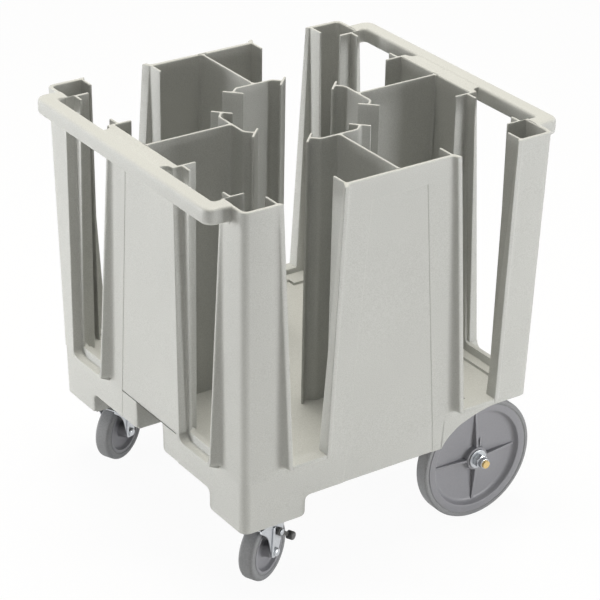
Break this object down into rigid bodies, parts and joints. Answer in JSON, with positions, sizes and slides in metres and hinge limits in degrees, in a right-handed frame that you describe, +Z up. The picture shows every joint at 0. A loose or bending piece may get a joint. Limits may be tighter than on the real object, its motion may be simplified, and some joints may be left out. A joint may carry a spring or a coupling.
{
  "type": "plate dispenser cart",
  "caption": "Moulded plate dispenser cart with slotted corner bays, a centre bay, end handle rails, large rear wheels and braked swivel casters.",
  "frame": {"origin": "on the ground under the centre of the body's bounding box", "axes": "+Z up, +X from the swivel casters towards the large wheels, +Y to the left"},
  "size_m": [0.779, 0.7044, 0.803],
  "materials": {
    "body_resin": "satin moulded, fine speckle",
    "tyre": "matt",
    "wheel_plastic": "satin moulded",
    "bushing_plastic": "matt",
    "zinc": "bright zinc plate",
    "axle_zinc": "yellow passivated zinc plate",
    "lever_plastic": "matt moulded"
  },
  "bodies": {
    "cart": {"floor_pan": "body_resin", "front_ledge": "body_resin", "rear_ledge": "body_resin", "right_ledge": "body_resin", "left_ledge": "body_resin", "front_skirt": "body_resin", "rear_skirt": "body_resin", "right_skirt": "body_resin", "left_skirt": "body_resin", "front_right_leg": "body_resin", "front_left_leg": "body_resin", "front_panel": "body_resin", "rear_panel": "body_resin", "right_panel": "body_resin", "left_panel": "body_resin", "front_right_post": "body_resin", "front_left_post": "body_resin", "rear_right_post": "body_resin", "rear_left_post": "body_resin", "front_divider": "body_resin", "rear_divider": "body_resin", "right_divider": "body_resin", "left_divider": "body_resin", "front_handle": "body_resin", "rear_handle": "body_resin", "axle_block_right": "body_resin", "axle_block_left": "body_resin", "axle": "axle_zinc", "axle_washers": "zinc", "axle_nuts": "zinc", "caster_plate_right": "zinc", "plate_bolts_right": "zinc", "kingpin_right": "zinc", "caster_plate_left": "zinc", "plate_bolts_left": "zinc", "kingpin_left": "zinc"},
    "rear_wheel_body_right": {"rear_tyre_right": "tyre", "rear_wheel_right": "wheel_plastic", "wheel_bushing_right": "bushing_plastic"},
    "caster_right": {"fork_right": "zinc", "caster_axle_right": "zinc", "lever_pin_right": "zinc"},
    "caster_wheel_body_right": {"caster_tyre_right": "tyre", "caster_wheel_right": "wheel_plastic"},
    "brake_right": {"brake_lever_right": "lever_plastic"},
    "rear_wheel_body_left": {"rear_tyre_left": "tyre", "rear_wheel_left": "wheel_plastic", "wheel_bushing_left": "bushing_plastic"},
    "caster_left": {"fork_left": "zinc", "caster_axle_left": "zinc", "lever_pin_left": "zinc"},
    "caster_wheel_body_left": {"caster_tyre_left": "tyre", "caster_wheel_left": "wheel_plastic"},
    "brake_left": {"brake_lever_left": "lever_plastic"}
  },
  "joints": [
    {"name": "rear_wheel_spin_right", "type": "hinge", "parent": "cart", "child": "rear_wheel_body_right", "pos_m": [0.2235, -0.305, 0.127], "axis": [0, 1, 0], "continuous": true},
    {"name": "caster_swivel_right", "type": "hinge", "parent": "cart", "child": "caster_right", "pos_m": [-0.224, -0.265, 0.14], "axis": [0, 0, 1], "continuous": true},
    {"name": "caster_wheel_spin_right", "type": "hinge", "parent": "caster_right", "child": "caster_wheel_body_right", "pos_m": [-0.24927, -0.27705, 0.0635], "axis": [-0.4305, 0.9026, 0], "continuous": true},
    {"name": "brake_lever_right_pivot", "type": "hinge", "parent": "caster_right", "child": "brake_right", "pos_m": [-0.22866, -0.29935, 0.1045], "axis": [-0.4305, 0.9026, 0], "range_deg": [0, 24]},
    {"name": "rear_wheel_spin_left", "type": "hinge", "parent": "cart", "child": "rear_wheel_body_left", "pos_m": [0.2235, 0.305, 0.127], "axis": [0, 1, 0], "continuous": true},
    {"name": "caster_swivel_left", "type": "hinge", "parent": "cart", "child": "caster_left", "pos_m": [-0.224, 0.265, 0.14], "axis": [0, 0, 1], "continuous": true},
    {"name": "caster_wheel_spin_left", "type": "hinge", "parent": "caster_left", "child": "caster_wheel_body_left", "pos_m": [-0.24927, 0.25295, 0.0635], "axis": [-0.4305, 0.9026, 0], "continuous": true},
    {"name": "brake_lever_left_pivot", "type": "hinge", "parent": "caster_left", "child": "brake_left", "pos_m": [-0.22866, 0.23064, 0.1045], "axis": [-0.4305, 0.9026, 0], "range_deg": [0, 24]}
  ]
}
